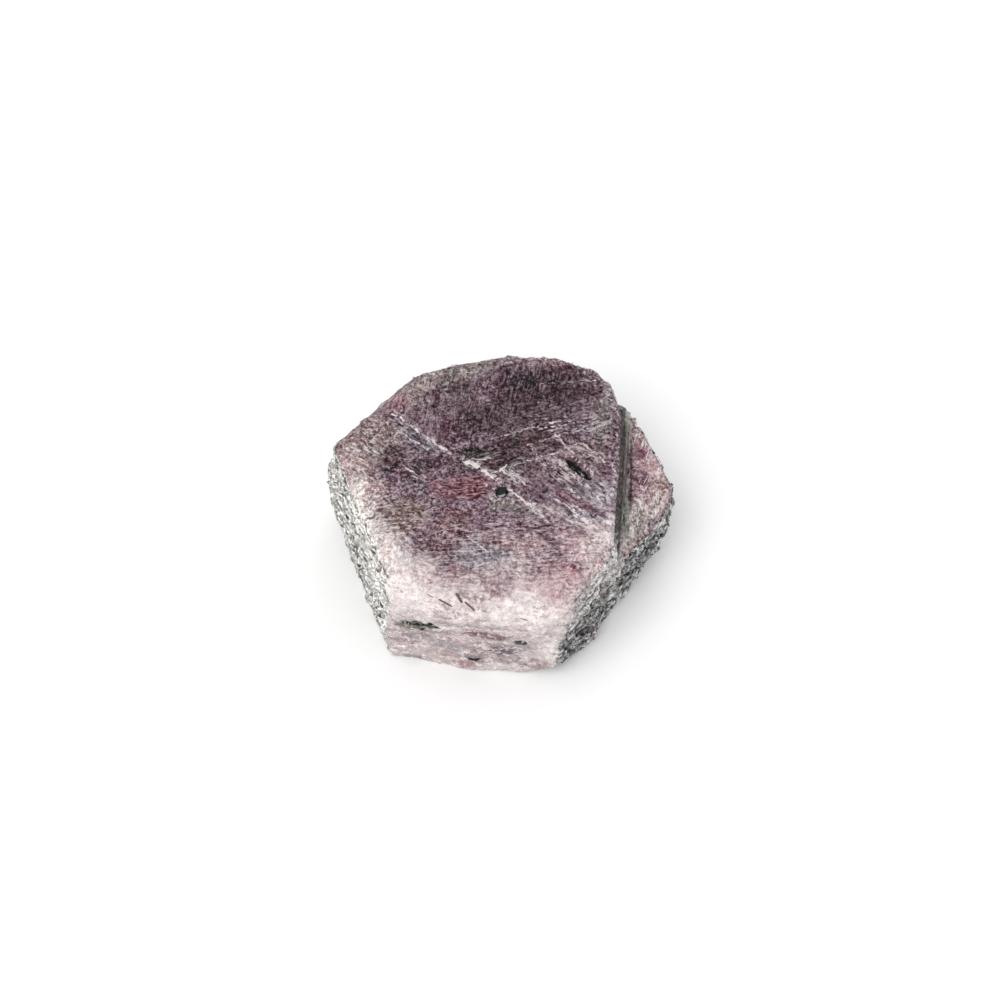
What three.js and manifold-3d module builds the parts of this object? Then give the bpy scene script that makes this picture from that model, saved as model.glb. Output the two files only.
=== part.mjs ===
// Raw ruby crystal: an opaque, tabular, six-sided corundum crystal, rough as it was found.
// Millimetres, +Z up along the crystal's c axis. The crystal lies on its flat lower base, and the
// origin is under the middle of it, on the surface that it rests on.
//
// A crystal is what is left of a block once each of its faces has been cut, so every face here is
// one half-space. A face looks along its azimuth, counted from +X towards +Y. Prism faces lie 60
// degrees apart, and their steep steps make the sides barrel out to a girdle below the rim.

import * as THREE from "three";
import { mergeVertices } from "three/addons/utils/BufferGeometryUtils.js";
import Module from "manifold-3d";

const THICKNESS = 12;        // base to top face, along the c axis
const LATTICE_TURN = 20;     // azimuth of the first prism face
const SIXTH = 60;            // from one prism face to the next
const STEEP_LEAN = 7;        // lean of the steep faces above the girdle
const UNDERCUT = 5;          // lean of the steep faces below the girdle, under the crystal
const RHOMB_ANGLE = 57.6;    // from the c axis to the normal of a rhombohedral face
const RIM_HEIGHT = 11.5;     // where the upper outline of the sides is measured
const GIRDLE_HEIGHT = 4.5;   // the widest level of the free sides
const LEDGE_HEIGHT = 9.2;    // top of the lower growth tier, on the right
const BREAK_REACH = 11.7;    // where the upper tier breaks off, towards +X
const BREAK_TURN = -4;       // azimuth that the break looks along
const GROOVE_WIDTH = 1.7;    // trough along the foot of that break
const GROOVE_DEPTH = 0.9;    // below the ledge
const GROOVE_FLOOR = 0.6;    // width of its floor
const GROOVE_FRONT = -9.5;   // where it starts; it runs out through the back of the ledge
const ROUGH_BLOCK = 60;      // side of the block that the faces are cut from

const wasm = await Module();
wasm.setup();

// A closed three.js geometry as a manifold solid.
function toSolid(geometry) {
  const bare = geometry.index ? geometry.toNonIndexed() : geometry.clone();
  bare.deleteAttribute("normal");
  bare.deleteAttribute("uv");
  const merged = mergeVertices(bare, 1e-5);
  return new wasm.Manifold(new wasm.Mesh({
    numProp: 3,
    vertProperties: new Float32Array(merged.attributes.position.array),
    triVerts: new Uint32Array(merged.index.array),
  }));
}

// A manifold solid as a flat-shaded three.js geometry.
function toGeometry(solid) {
  const mesh = solid.getMesh();
  const geometry = new THREE.BufferGeometry();
  geometry.setAttribute("position", new THREE.BufferAttribute(mesh.vertProperties, 3));
  geometry.setIndex(new THREE.BufferAttribute(mesh.triVerts, 1));
  const flat = geometry.toNonIndexed();
  flat.computeVertexNormals();
  return flat;
}

// Everything beyond one crystal face: a block standing on the plane that looks along the azimuth,
// tilted up by lift degrees, and that is reach millimetres from the axis at the given height.
function beyond({ azimuth, lift, reach, height }) {
  const turn = THREE.MathUtils.degToRad(azimuth);
  const rise = THREE.MathUtils.degToRad(lift);
  const outward = new THREE.Vector3(Math.cos(turn), Math.sin(turn), 0);
  const normal = outward.clone().multiplyScalar(Math.cos(rise));
  normal.z = Math.sin(rise);
  const onFace = outward.multiplyScalar(reach);
  onFace.z = height;
  const block = new THREE.BoxGeometry(2 * ROUGH_BLOCK, 2 * ROUGH_BLOCK, ROUGH_BLOCK);
  block.translate(0, 0, ROUGH_BLOCK / 2);
  const upright = new THREE.Vector3(0, 0, 1);
  block.applyQuaternion(new THREE.Quaternion().setFromUnitVectors(upright, normal));
  block.translate(onFace.x, onFace.y, onFace.z);
  return toSolid(block);
}

// A free side is a pair of steep faces that meet at the girdle.
function side(azimuth, reach) {
  const spread = (RIM_HEIGHT - GIRDLE_HEIGHT) * Math.tan(THREE.MathUtils.degToRad(STEEP_LEAN));
  return [
    { azimuth, reach, height: RIM_HEIGHT, lift: STEEP_LEAN },
    { azimuth, reach: reach + spread, height: GIRDLE_HEIGHT, lift: -UNDERCUT },
  ];
}

const prism = (count) => LATTICE_TURN + count * SIXTH;

// The sides that both tiers share, from the back round by the left to the front and the right.
const sharedSides = [
  ...side(prism(1) - 14, 17.3),
  ...side(prism(1) + 8, 16.5),
  ...side(prism(1) + 18, 16.35),
  ...side(prism(2) - 26, 16.4),
  ...side(prism(2), 15.95),
  { azimuth: prism(3), reach: 14.2, height: 11, lift: STEEP_LEAN },
  { azimuth: prism(3), reach: 15.0, height: GIRDLE_HEIGHT, lift: -UNDERCUT },
  { azimuth: prism(4) + 3, reach: 15.5, height: 8, lift: -UNDERCUT },
  { azimuth: prism(4) - 4, reach: 15.25, height: 0, lift: -UNDERCUT },
  { azimuth: prism(5) + 4, reach: 14.2, height: 8, lift: -UNDERCUT },
];

// Corners broken or grown off under the girdle, looking down and outwards.
const lowerCorners = [
  { azimuth: prism(3) - 22, reach: 17.0, height: 3.9, lift: -45 },
  { azimuth: prism(6) - 30, reach: 16.5, height: 5, lift: RHOMB_ANGLE - 90 },
  { azimuth: prism(2) - 30, reach: 16.6, height: 2, lift: RHOMB_ANGLE - 90 },
  { azimuth: prism(5) - 20, reach: 16.6, height: 2, lift: -45 },
];

// The worn front shoulder and the low faces that round off the flat top.
const topFaces = [
  { azimuth: prism(4), reach: 7, height: THICKNESS, lift: 80 },
  { azimuth: prism(4), reach: 12.2, height: 11, lift: 54 },
  { azimuth: prism(3), reach: 12.6, height: THICKNESS, lift: 60 },
  { azimuth: prism(2), reach: 14.6, height: THICKNESS, lift: 65 },
  { azimuth: prism(2) - 30, reach: 15.2, height: THICKNESS, lift: 65 },
];

// The sides of the upper tier alone, with the break that looks towards +X.
const upperTierFaces = [
  { azimuth: prism(0), reach: 14.65, height: RIM_HEIGHT, lift: STEEP_LEAN },
  { azimuth: prism(0) + 7, reach: 15.48, height: RIM_HEIGHT, lift: STEEP_LEAN },
  { azimuth: BREAK_TURN, reach: BREAK_REACH, height: THICKNESS, lift: STEEP_LEAN },
  { azimuth: prism(5), reach: 14.7, height: 11, lift: 40 },
];

// The sides of the lower tier alone, and the slope where its top runs out to the front.
const ledgeFaces = [
  { azimuth: prism(0), reach: 16.7, height: LEDGE_HEIGHT, lift: STEEP_LEAN },
  { azimuth: prism(0) - 30, reach: 17.0, height: LEDGE_HEIGHT, lift: -UNDERCUT },
  { azimuth: prism(0) + 15, reach: 16.9, height: LEDGE_HEIGHT, lift: STEEP_LEAN },
  { azimuth: prism(0), reach: 13, height: LEDGE_HEIGHT, lift: 85 },
  { azimuth: prism(5), reach: 11.2, height: LEDGE_HEIGHT, lift: 55 },
];

// A block of the given height with all the faces of a tier cut on it.
function tier(height, faces) {
  const block = new THREE.BoxGeometry(ROUGH_BLOCK, ROUGH_BLOCK, height);
  block.translate(0, 0, height / 2);
  return faces.reduce((solid, face) => solid.subtract(beyond(face)), toSolid(block));
}

// The trough at the foot of the break: a V with a flat floor, run along Y and open above the ledge.
function grooveSolid() {
  const half = GROOVE_WIDTH / 2;
  const floor = GROOVE_FLOOR / 2;
  const section = new THREE.Shape([
    new THREE.Vector2(-half, GROOVE_DEPTH),
    new THREE.Vector2(-half, GROOVE_DEPTH / 2),
    new THREE.Vector2(-floor, -GROOVE_DEPTH),
    new THREE.Vector2(floor, -GROOVE_DEPTH),
    new THREE.Vector2(half, GROOVE_DEPTH / 2),
    new THREE.Vector2(half, GROOVE_DEPTH),
  ]);
  const groove = new THREE.ExtrudeGeometry(section, { depth: ROUGH_BLOCK, bevelEnabled: false });
  groove.rotateX(Math.PI / 2);
  groove.translate(BREAK_REACH + half, GROOVE_FRONT + ROUGH_BLOCK, LEDGE_HEIGHT);
  groove.rotateZ(THREE.MathUtils.degToRad(BREAK_TURN));
  return toSolid(groove);
}

const upperTier = tier(THICKNESS, [...sharedSides, ...lowerCorners, ...topFaces, ...upperTierFaces]);
const lowerTier = tier(LEDGE_HEIGHT, [...sharedSides, ...lowerCorners, ...topFaces, ...ledgeFaces]);
const crystalSolid = upperTier.add(lowerTier.subtract(grooveSolid()));

// The origin goes under the middle of the crystal's box, on its base.
const crystalGeometry = toGeometry(crystalSolid);
crystalGeometry.computeBoundingBox();
const middle = crystalGeometry.boundingBox.getCenter(new THREE.Vector3());
crystalGeometry.translate(-middle.x, -middle.y, -crystalGeometry.boundingBox.min.z);

const rubyInMica = new THREE.MeshStandardMaterial({ color: 0x8c6f74, roughness: 0.6, metalness: 0 });
const crystal = new THREE.Mesh(crystalGeometry, rubyInMica);
crystal.name = "ruby_crystal";

const ruby = new THREE.Group();
ruby.add(crystal);

export default ruby;
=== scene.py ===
import math

import bpy
from mathutils import Matrix, Vector


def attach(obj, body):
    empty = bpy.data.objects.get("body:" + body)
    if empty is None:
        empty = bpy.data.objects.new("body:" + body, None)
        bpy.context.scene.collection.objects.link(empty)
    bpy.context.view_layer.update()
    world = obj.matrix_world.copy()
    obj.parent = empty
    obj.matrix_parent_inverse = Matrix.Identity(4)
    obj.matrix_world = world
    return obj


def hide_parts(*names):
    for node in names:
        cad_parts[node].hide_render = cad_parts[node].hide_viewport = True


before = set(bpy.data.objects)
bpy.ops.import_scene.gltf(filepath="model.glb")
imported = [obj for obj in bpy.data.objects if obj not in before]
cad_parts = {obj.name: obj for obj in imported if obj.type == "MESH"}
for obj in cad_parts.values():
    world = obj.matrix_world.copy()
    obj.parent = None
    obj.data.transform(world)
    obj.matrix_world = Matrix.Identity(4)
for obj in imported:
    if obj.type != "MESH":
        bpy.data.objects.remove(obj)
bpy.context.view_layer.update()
MM = 0.001  # every size below is in millimetres, and the meshes are in metres


# ----------------------------------------------------------
# The crystal: one opaque, tabular corundum crystal from mica schist. It is a worn six-sided plate
# with a rounded front shoulder, a lower growth tier on the right, and a mica skin on its sides.
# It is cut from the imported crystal: closed up, remeshed finely, worn, and given its rough relief.

CRYSTAL_NODE = "ruby_crystal"
VOXEL = 0.185
SAME_POINT = 0.001
FLAT_ANGLE = 1.0             # faces that turn by less than this are one face
ISLAND_ANGLE = 66
ISLAND_GAP = 0.003

TRACES = (20, 80, -40)       # directions of the rhombohedral parting, seen on the top face
BREAK_TURN = -4              # azimuth of the way across the break, from the upper tier to the ledge
GROOVE_MIDDLE = 12.75        # how far out that way the groove runs, at the foot of the break
FRONT, RIGHT, BACK, LEFT = 258, 324, 90, 200    # azimuths, from +X towards +Y, that the sides face


class Signal:
    """A socket of a node tree. Arithmetic on it adds Math or Vector Math nodes to that tree."""

    def __init__(self, tree, socket=None):
        self.tree = tree
        self.socket = socket

    def node(self, kind, settings=None, sockets=None, out=0):
        made = self.tree.nodes.new(kind)
        for name, value in (settings or {}).items():
            if name == "stops":
                while len(made.color_ramp.elements) < len(value):
                    made.color_ramp.elements.new(1)
                for stop, (place, colour) in zip(made.color_ramp.elements, value):
                    stop.position = place
                    stop.color = (*colour, 1)
            else:
                setattr(made, name, value)
        for name, value in (sockets or {}).items():
            if isinstance(value, Signal):
                self.tree.links.new(value.socket, made.inputs[name])
            else:
                made.inputs[name].default_value = value
        return Signal(self.tree, None if out is None else made.outputs[out])

    def output(self, name):
        return Signal(self.tree, self.socket.node.outputs[name])

    def maths(self, operation, *terms):
        kinds = [term.socket.type for term in terms if isinstance(term, Signal)]
        if "VECTOR" in kinds or "RGBA" in kinds or any(isinstance(term, tuple) for term in terms):
            terms = [(term,) * 3 if isinstance(term, (int, float)) else term for term in terms]
            return self.node("ShaderNodeVectorMath", {"operation": operation}, dict(enumerate(terms)))
        return self.node("ShaderNodeMath", {"operation": operation}, dict(enumerate(terms)))

    def __add__(self, other):
        return self.maths("ADD", self, other)

    def __radd__(self, other):
        return self.maths("ADD", other, self)

    def __sub__(self, other):
        return self.maths("SUBTRACT", self, other)

    def __rsub__(self, other):
        return self.maths("SUBTRACT", other, self)

    def __mul__(self, other):
        return self.maths("MULTIPLY", self, other)

    def __rmul__(self, other):
        return self.maths("MULTIPLY", other, self)

    def __truediv__(self, other):
        return self.maths("DIVIDE", self, other)

    def __neg__(self):
        return self * -1

    def __abs__(self):
        return self.maths("ABSOLUTE", self)

    def into(self, shader, name):
        self.tree.links.new(self.socket, shader.inputs[name])


def larger(a, b):
    """The larger of two values, or b alone while there is no a yet."""
    return b if a is None else a.maths("MAXIMUM", a, b)


def smaller(a, b):
    return b if a is None else a.maths("MINIMUM", a, b)


def part_of(vector, name):
    return vector.node("ShaderNodeSeparateXYZ", {}, {0: vector}, name)


def dot(a, b):
    return a.node("ShaderNodeVectorMath", {"operation": "DOT_PRODUCT"}, {0: a, 1: b}, "Value")


def length(a):
    return a.node("ShaderNodeVectorMath", {"operation": "LENGTH"}, {0: a}, "Value")


def rise(value, low, high):
    """0 below low, 1 above high, and a smooth climb between them."""
    ends = {"Value": value, "From Min": low, "From Max": high}
    return value.node("ShaderNodeMapRange", {"interpolation_type": "SMOOTHSTEP"}, ends)


def between(a, b, share):
    """The number that lies that share of the way from a to b."""
    return share.node("ShaderNodeMix", {"data_type": "FLOAT"}, {0: share, 2: a, 3: b})


def turned(place, degrees):
    """Coordinates in a frame whose first axis is turned that far from +X about Z."""
    turn = {"Vector": place, "Angle": math.radians(-degrees)}
    return place.node("ShaderNodeVectorRotate", {"rotation_type": "Z_AXIS"}, turn)


def cloud(place, lump, seed, detail=3.0, roughness=0.55):
    """Noise from 0 to 1, about 0.5, with lumps of that size, or of (along, across, up) sizes."""
    lump = (lump,) * 3 if isinstance(lump, float) else lump
    near = place * tuple(1 / size for size in lump) + (seed * 17.3, seed * 5.9, seed * 11.7)
    settings = {"Vector": near, "Scale": 1.0, "Detail": detail, "Roughness": roughness}
    return place.node("ShaderNodeTexNoise", {}, settings)


def from_line(place, start, end):
    """Distance in plan from the line between two points of the top face."""
    run = (end[0] - start[0], end[1] - start[1], 0.0)
    squared = run[0] ** 2 + run[1] ** 2
    flat = (place - (start[0], start[1], 0.0)) * (1.0, 1.0, 0.0)
    share = dot(flat, tuple(step / squared for step in run))
    held = share.node("ShaderNodeClamp", {}, {"Value": share})
    return length(flat - held.node("ShaderNodeVectorMath", {"operation": "SCALE"}, {0: run, "Scale": held}))


def spot(place, middle, size, turn=0, core=0.45, rim=1.15):
    """1 in the core of an oval spot, 0 beyond its rim. A size of 0 means any distance that way."""
    middle, size = ((*part, 0.0)[:3] for part in (middle, size))
    off = length(turned(place - middle, turn) * tuple(1 / reach if reach else 0.0 for reach in size))
    return 1 - rise(off, core, rim)


def toward(vector, azimuth):
    """How far a place lies, or a face looks, along that azimuth."""
    turn = math.radians(azimuth)
    return dot(vector, (math.cos(turn), math.sin(turn), 0.0))


# Bruised lines on the top face, along the partings: start, end and width.
BRUISES = (
    ((-10.7, 7.9), (-8.9, 6.4), 0.10),
    ((-8.9, 6.4), (-6.6, 4.1), 0.16),
    ((-12.4, 7.6), (-10.3, 5.9), 0.07),
    ((-10.1, 5.5), (-6.9, 3.0), 0.08),
    ((-6.6, 4.1), (-4.9, 2.6), 0.10),
    ((-3.7, 1.7), (-2.1, 0.9), 0.18),
    ((-1.5, 0.4), (0.4, -1.3), 0.15),
    ((0.9, -1.9), (2.3, -3.3), 0.12),
    ((2.3, -3.3), (4.4, -5.5), 0.17),
    ((0.2, 0.6), (3.2, -1.9), 0.10),
    ((0.9, 0.7), (3.4, -1.4), 0.06),
    ((-0.3, 0.2), (0.9, 1.0), 0.10),
    ((-9.2, 0.5), (-7.6, -0.6), 0.06),
    ((5.0, -2.8), (8.6, -5.9), 0.07),
    ((4.6, -3.4), (6.9, -5.4), 0.05),
    ((6.0, 1.8), (8.3, -1.6), 0.07),
    ((5.2, 1.7), (6.6, -0.6), 0.05),
    ((5.6, 5.2), (7.4, 2.6), 0.07),
    ((8.4, 3.9), (10.6, 1.2), 0.07),
    ((3.0, 3.8), (4.0, 2.0), 0.06),
    ((9.6, -2.6), (10.6, -4.8), 0.08),
    ((6.9, -2.0), (8.0, -3.2), 0.10),
    ((-0.4, 0.2), (6.0, 2.6), 0.06),
    ((2.9, 3.6), (6.2, 4.9), 0.07),
    ((-1.0, 4.4), (5.6, 6.9), 0.05),
    ((6.8, 3.4), (8.4, 3.9), 0.06),
    ((6.6, 5.2), (11.4, 6.6), 0.05),
    ((5.6, 6.8), (7.2, 7.2), 0.13),
    ((4.4, 11.9), (11.2, 12.6), 0.04),
    ((-4.0, 13.0), (1.4, 14.9), 0.05),
    ((-3.4, 1.5), (-0.5, 2.2), 0.05),
    ((-3.0, -8.0), (2.0, -12.4), 0.05),
)

# Open hollows in the top face: middle, half length and half width, turn, and depth.
HOLLOWS = (
    ((0.4, -2.3), (0.95, 0.80), 80, 0.45),
    ((7.95, 0.60), (2.0, 0.55), -49, 0.75),
    ((-5.7, 12.5), (0.9, 0.6), 20, 0.25),
    ((-10.9, 0.3), (0.7, 0.35), -40, 0.20),
    ((-12.75, -5.25), (0.8, 0.25), 5, 0.25),
    ((-2.2, 3.0), (0.9, 0.4), 0, 0.15),
)

# Places where the sides bulge out or fall back: middle, reach and how far.
BULGES = (
    ((9.0, -12.3, 1.6), 3.0, 0.75),
    ((16.3, -1.4, 3.4), 2.6, 0.55),
    ((-2.5, -15.0, 0.4), 4.0, 0.25),
    ((3.9, -15.2, 0.0), 1.6, -0.45),
    ((11.2, 11.2, 10.5), 3.4, 0.30),
    ((12.7, 10.6, 8.6), 1.8, 0.55),
)

bpy.ops.object.select_all(action="DESELECT")
crystal = bpy.data.objects.new("raw_ruby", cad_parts[CRYSTAL_NODE].data.copy())
bpy.context.collection.objects.link(crystal)
crystal.select_set(True)
bpy.context.view_layer.objects.active = crystal
bpy.ops.object.mode_set(mode="EDIT")
bpy.ops.mesh.select_all(action="SELECT")
bpy.ops.mesh.remove_doubles(threshold=SAME_POINT * MM)
bpy.ops.mesh.dissolve_limited(angle_limit=math.radians(FLAT_ANGLE))
bpy.ops.object.mode_set(mode="OBJECT")

remesh = crystal.modifiers.new("fine", "REMESH")
remesh.mode = "VOXEL"
remesh.voxel_size = VOXEL * MM
remesh.use_smooth_shade = True
bpy.ops.object.modifier_apply(modifier=remesh.name)

bpy.ops.object.mode_set(mode="EDIT")
bpy.ops.mesh.select_all(action="SELECT")
bpy.ops.uv.smart_project(angle_limit=math.radians(ISLAND_ANGLE), island_margin=ISLAND_GAP)
bpy.ops.object.mode_set(mode="OBJECT")
crystal.data.uv_layers.active.name = "OFBake"


def new_modifier(piece, name):
    """A Geometry Nodes modifier on the piece, with its tree and the geometry that comes in."""
    tree = bpy.data.node_groups.new(name, "GeometryNodeTree")
    tree.interface.new_socket("Geometry", in_out="INPUT", socket_type="NodeSocketGeometry")
    tree.interface.new_socket("Geometry", in_out="OUTPUT", socket_type="NodeSocketGeometry")
    modifier = piece.modifiers.new(name, "NODES")
    modifier.node_group = tree
    return modifier, Signal(tree).node("NodeGroupInput")


def finish_modifier(piece, modifier, geometry):
    """Links the geometry to the tree's output and applies the modifier."""
    geometry.node("NodeGroupOutput", {}, {0: geometry}, None)
    bpy.context.view_layer.objects.active = piece
    bpy.ops.object.modifier_apply(modifier=modifier.name)


def position(tree):
    return Signal(tree).node("GeometryNodeInputPosition")


def blurred(value, times, weight=1.0):
    settings = {"Value": value, "Iterations": times, "Weight": weight}
    return value.node("GeometryNodeBlurAttribute", {"data_type": "FLOAT_VECTOR"}, settings)


def moved(geometry, settings):
    return geometry.node("GeometryNodeSetPosition", {}, {"Geometry": geometry, **settings})


def kept(geometry, name, value, kind="FLOAT"):
    """Stores a value on the mesh's points, for the material to read."""
    sockets = {"Geometry": geometry, "Name": name, "Value": value}
    return geometry.node("GeometryNodeStoreNamedAttribute", {"data_type": kind}, sockets)


def read(tree, name, kind="FLOAT"):
    return Signal(tree).node("GeometryNodeInputNamedAttribute", {"data_type": kind}, {"Name": name})


relief, stone = new_modifier(crystal, "relief")
tree = stone.tree
WEAR_TIMES, SHOULDER_TIMES, FACING_TIMES, EDGE_TIMES = 6, 60, 5, 8
RIB_HALF, RIB_HIGH = 0.15, 0.55
NICK_DEPTH = 0.28
here = position(tree) / MM
depth = part_of(here, "Y")
up = part_of(here, "Z")
worn = moved(stone, {"Position": blurred(position(tree), WEAR_TIMES)})
on_shoulder = rise(-depth, 6.0, 10.5) * rise(up, 6.0, 8.5)
worn = moved(worn, {"Position": blurred(position(tree), SHOULDER_TIMES, on_shoulder)})
normal = Signal(tree).node("GeometryNodeInputNormal")
stone = kept(worn, "facing", blurred(normal, FACING_TIMES), "FLOAT_VECTOR")

facing = read(tree, "facing", "FLOAT_VECTOR")
lift = part_of(facing, "Z")
wall = 1 - rise(lift, 0.30, 0.62)
off_base = rise(lift, -0.93, -0.80)
micaceous = larger(rise(toward(facing, RIGHT), 0.55, 0.85), rise(toward(facing, BACK), 0.2, 0.6))
micaceous = larger(micaceous, rise(toward(facing, LEFT), 0.6, 0.9) * 0.55) * wall

# Broad swells and lumps: the sides are far rougher than the worn top.
swell = (cloud(here, (7.0, 7.0, 6.0), 1, 2.0) - 0.5) * between(0.45, 0.9, wall)
lumps = (cloud(here, (1.7, 1.7, 1.4), 2, 4.0) - 0.5) * between(0.20, 1.0, wall)
grit = (cloud(here, (0.5, 0.5, 0.4), 3, 3.0, 0.7) - 0.5) * between(0.16, 0.42, wall)

# Foliation of the mica skin, in sheets that lie along the sides, broken back in small steps.
SHEET_STEP, POCKET_DEPTH = 0.21, 0.32
folds = (cloud(here, (6.0, 6.0, 4.0), 14, 3.0) - 0.5) * 5.0
leafy = cloud(here + folds * (0.0, 0.0, 1.0), (2.4, 2.4, 0.55), 4, 4.0, 0.6)
sheets = (rise(leafy, 0.42, 0.48) + rise(leafy, 0.53, 0.57) - 1.0) * SHEET_STEP
pockets = rise(cloud(here, (1.5, 1.5, 0.8), 5, 2.0), 0.60, 0.72) * -POCKET_DEPTH
skin = sheets * between(0.35, 1.0, micaceous) + pockets * micaceous

# Terraces of the parting on the top, one set for each trace.
TERRACE_STEP = 0.055
terraces = 0.0
for count, turn in enumerate(TRACES):
    level = cloud(turned(here, turn), (9.0, 1.3, 3.0), 6 + count, 1.5)
    terraces = terraces + (rise(level, 0.46, 0.475) + rise(level, 0.56, 0.575)) * TERRACE_STEP

bruise = None
for start, end, width in BRUISES:
    bruise = larger(bruise, 1 - rise(from_line(here, start, end), width, width * 2.2 + 0.20))
hollow = None
for middle, size, turn, deep in HOLLOWS:
    hollow = larger(hollow, spot(here, middle, size, turn) * deep)
ragged = cloud(here, 0.7, 12, 2.0) - 0.5
plateau = terraces - bruise * (0.03 + ragged * 0.30) - hollow
level_top = rise(lift, 0.80, 0.95) * rise(up, 10.0, 11.0)

# The rib that runs beside the foot of the break, in the groove.
off_rib = abs(toward(here, BREAK_TURN) - GROOVE_MIDDLE - RIB_HALF)
rib = (1 - rise(off_rib, RIB_HALF, 0.50)) * rise(depth, -4.5, -3.0)
rib = rib * rise(up, 7.2, 8.0) * (1 - rise(up, 9.0, 9.6)) * RIB_HIGH

# Chips along the edges, where the worn surface has pulled back most.
chips = rise(cloud(here, 1.3, 13, 2.0), 0.52, 0.62)
edge = dot(position(tree) - blurred(position(tree), EDGE_TIMES), facing) / MM
nicks = chips * rise(edge, 0.05, 0.22) * -NICK_DEPTH

bulge = 0.0
for middle, reach, push in BULGES:
    bulge = bulge + spot(here, middle, (reach,) * 3, core=0.2, rim=1.0) * push

height = bulge + swell + lumps + grit + skin * wall + plateau * level_top + rib + nicks
stone = moved(stone, {"Offset": facing * (height * off_base * MM)})
flat = position(tree)
x, y, z = (part_of(flat, name) for name in ("X", "Y", "Z"))
on_base = flat.node("ShaderNodeCombineXYZ", {}, {0: x, 1: y, 2: larger(z, 0.0)})
stone = moved(stone, {"Position": on_base})
normal = Signal(tree).node("GeometryNodeInputNormal")
for name, times in (("proud", 3), ("proud_broad", 14)):
    stone = kept(stone, name, dot(position(tree) - blurred(position(tree), times), normal) / MM)
finish_modifier(crystal, relief, stone)


def linear(code):
    """A colour given by its usual hexadecimal code, as linear light."""
    parts = [int(code[start:start + 2], 16) / 255 for start in (0, 2, 4)]
    return tuple(part / 12.92 if part < 0.0405 else ((part + 0.055) / 1.055) ** 2.4 for part in parts)


def mixed(a, b, share):
    """The colour that lies that share of the way from a to b. Either may be a hexadecimal code."""
    ends = [(*linear(end), 1) if isinstance(end, str) else end for end in (a, b)]
    return share.node("ShaderNodeMix", {"data_type": "RGBA"}, {0: share, 6: ends[0], 7: ends[1]}, 2)


EYE = 2.2                    # lightness as it is seen goes up evenly with this root of the light


def lighter(colour, step):
    """The colour with an even step of lightness added, which keeps its tint, pale or dark."""
    seen = colour.node("ShaderNodeGamma", {}, {0: colour, 1: 1 / EYE})
    return colour.node("ShaderNodeGamma", {}, {0: larger(seen + step, 0.0), 1: EYE})


def attribute(tree, name, out="Fac"):
    return Signal(tree).node("ShaderNodeAttribute", {"attribute_name": name}, {}, out)


def spread(value, low=0.34, high=0.66):
    """The value stretched in a straight line so that low is 0 and high is 1, and held there."""
    return value.node("ShaderNodeMapRange", {}, {"Value": value, "From Min": low, "From Max": high})


def cell_place(place, size, seed):
    """The place counted in cells of that size, or of (along, across, up) sizes."""
    size = (size,) * 3 if isinstance(size, float) else size
    return place * tuple(1 / step for step in size) + (seed * 3.7, seed * 8.3, seed * 1.9)


def cells(place, size, seed, feature="F1"):
    """Distances in Voronoi cells of that size."""
    sockets = {"Vector": cell_place(place, size, seed), "Scale": 1.0}
    return place.node("ShaderNodeTexVoronoi", {"feature": feature}, sockets, "Distance")


def new_paint(name):
    """A material, its main shader, and the place on the piece in millimetres."""
    paint = bpy.data.materials.new(name)
    paint.use_nodes = True
    place = Signal(paint.node_tree).node("ShaderNodeTexCoord", {}, {}, "Object") * (1 / MM)
    return paint, paint.node_tree.nodes["Principled BSDF"], place


def bump(height, strength, distance):
    """The normal of a surface with that height, at a distance in millimetres."""
    sockets = {"Strength": strength, "Distance": distance * MM, "Height": height}
    return height.node("ShaderNodeBump", {}, sockets)


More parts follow.
